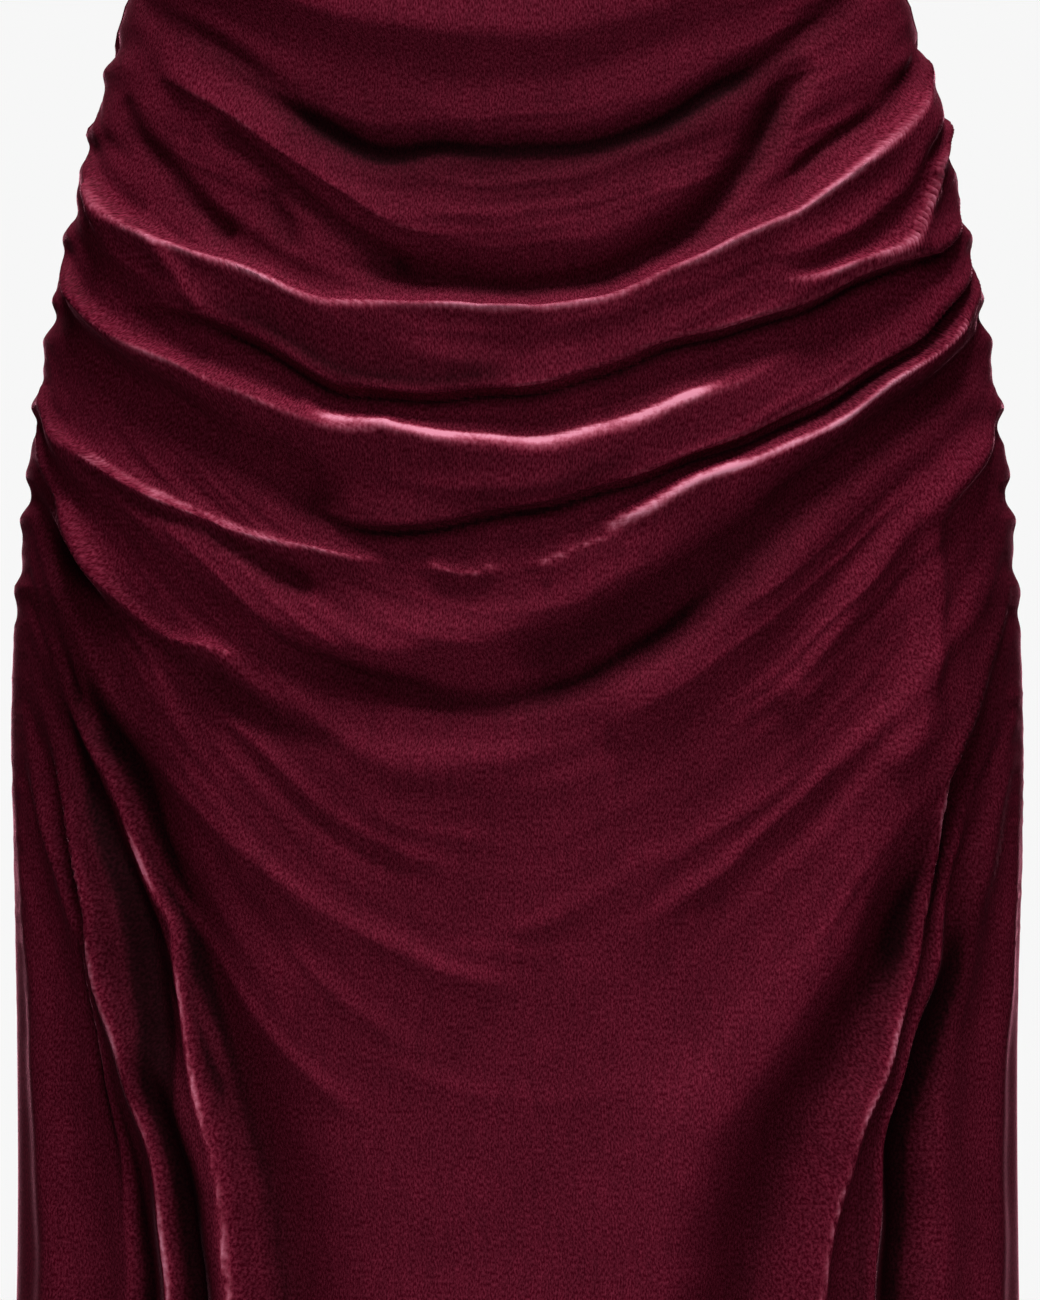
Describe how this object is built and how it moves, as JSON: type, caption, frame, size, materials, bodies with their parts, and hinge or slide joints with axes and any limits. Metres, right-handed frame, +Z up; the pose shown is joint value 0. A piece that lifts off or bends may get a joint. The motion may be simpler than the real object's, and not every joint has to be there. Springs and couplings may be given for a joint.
{
  "type": "ruched dress",
  "caption": "Floor-length sleeveless velvet dress gathered into both side seams, so that rolls of cloth swag across the hips.",
  "frame": {"origin": "midway between the tops of the two shoulder straps, where the wearer's shoulders hold the dress", "axes": "+Z up from hem to shoulders, -Y the front of the dress, +X towards the wearer's left"},
  "size_m": [0.456, 0.3428, 1.38],
  "materials": {
    "velvet": "burgundy stretch velvet with a soft pile",
    "straps": "the same velvet, turned and stitched"
  },
  "bodies": {
    "root": {"front": "velvet", "back": "velvet", "strap_left": "straps", "strap_right": "straps"}
  },
  "joints": []
}
